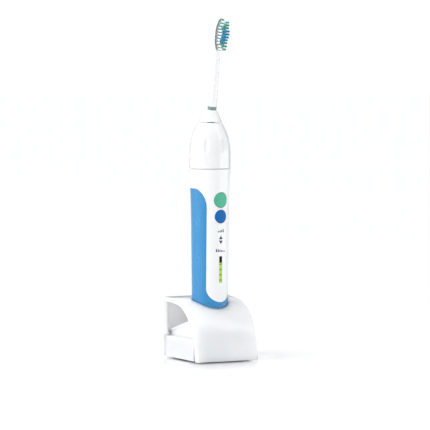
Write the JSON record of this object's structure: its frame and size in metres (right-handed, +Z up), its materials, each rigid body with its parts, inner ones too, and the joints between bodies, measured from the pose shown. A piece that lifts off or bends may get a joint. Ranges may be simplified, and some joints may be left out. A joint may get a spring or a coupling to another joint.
{
  "type": "electric toothbrush on charger",
  "caption": "Electric toothbrush with a blue grip and a screw-on brush head, standing upright in a white arched charging stand.",
  "frame": {"origin": "middle of the stand's footprint, on the surface it stands on", "axes": "+Z up along the handle; -Y towards the stand's front; +X to the right seen from behind the front"},
  "size_m": [0.0494, 0.0576, 0.2453],
  "materials": {
    "white_shell": "glossy moulded white",
    "stand_white": "glossy moulded white, slightly milky",
    "charger_white": "satin moulded white",
    "blue_grip": "soft-touch satin blue",
    "teal_button": "glossy teal green",
    "blue_button": "glossy deep blue",
    "seal_rubber": "matt grey elastomer",
    "dark_rubber": "matt black elastomer",
    "dark_plastic": "matt dark grey",
    "lime_lens": "clear lime green",
    "black_lens": "glossy black",
    "copper": "enamelled copper wire",
    "ferrite": "matt dark ferrite",
    "board": "green solder mask",
    "steel": "bright zinc-plated steel",
    "magnet": "nickel-plated magnet",
    "cell_wrap": "shrink-wrapped steel can",
    "inner_plastic": "matt grey glass-filled nylon",
    "ring_teal": "satin grey teal",
    "bristle_heel": "nylon filaments, white with green tips",
    "bristle_centre": "nylon filaments, white with blue tips",
    "bristle_toe": "nylon filaments, white with green tips",
    "capacitor": "sleeved can"
  },
  "bodies": {
    "charger": {"stand_shell": "stand_white", "charger_housing": "charger_white", "base_plate": "dark_plastic", "base_screws": "steel", "rubber_feet": "dark_rubber", "coil_spool": "inner_plastic", "primary_coil": "copper", "ferrite_rod": "ferrite", "driver_board": "board", "tuning_capacitor": "capacitor", "smoothing_capacitor": "capacitor", "cord_gland": "dark_rubber"},
    "handle": {"handle_housing": "white_shell", "neck_collar": "white_shell", "grip": "blue_grip", "keypad_seal": "seal_rubber", "gauge_lens": "lime_lens", "gauge_cap": "black_lens", "end_cap": "blue_grip", "cap_seal": "dark_rubber", "receiver_coil": "copper", "neck_seal": "seal_rubber", "battery_cell": "cell_wrap", "battery_tabs": "steel", "main_board": "board", "tact_switches": "dark_plastic", "gauge_leds": "lime_lens", "cradle": "inner_plastic", "drive_core": "steel", "coil_former": "inner_plastic", "drive_winding": "copper", "drive_bracket": "inner_plastic"},
    "power_key": {"power_button": "teal_button"},
    "mode_key": {"mode_button": "blue_button"},
    "head_carrier": {"head_frame": "inner_plastic", "pivot_pin": "steel", "head_boot": "seal_rubber"},
    "nut": {"head_nut": "white_shell"},
    "brush": {"drive_lever": "inner_plastic", "magnet_yoke": "steel", "drive_magnets": "magnet", "brush_stem": "white_shell", "stem_collar": "white_shell", "colour_ring": "ring_teal", "face_rim": "ring_teal", "bristles_heel": "bristle_heel", "bristles_centre": "bristle_centre", "bristles_toe": "bristle_toe"}
  },
  "joints": [
    {"name": "handle_lift", "type": "slide", "parent": "charger", "child": "handle", "axis": [0, 0, 1], "range_m": [0, 0.08]},
    {"name": "power_press", "type": "slide", "parent": "handle", "child": "power_key", "axis": [-0.1392, 0.9903, 0], "range_m": [0, 0.0006], "stiffness_N_per_m": 1500},
    {"name": "mode_press", "type": "slide", "parent": "handle", "child": "mode_key", "axis": [-0.1392, 0.9903, 0], "range_m": [0, 0.0006], "stiffness_N_per_m": 1500},
    {"name": "head_advance", "type": "slide", "parent": "handle", "child": "head_carrier", "axis": [0, 0, 1], "range_m": [0, 0.0076]},
    {"name": "nut_turn", "type": "hinge", "parent": "head_carrier", "child": "nut", "pos_m": [0, 0.0009, 0.15075], "axis": [0, 0, 1], "range_deg": [0, 900]},
    {"name": "brush_sweep", "type": "hinge", "parent": "head_carrier", "child": "brush", "pos_m": [0, 0.0009, 0.16375], "axis": [0.1374, -0.9778, -0.1582], "range_deg": [-2.5, 2.5], "stiffness_Nm_per_rad": 0.4}
  ],
  "couplings": [
    {"joint": "head_advance", "follows": "nut_turn", "m_per_rad": 0.00047746}
  ]
}
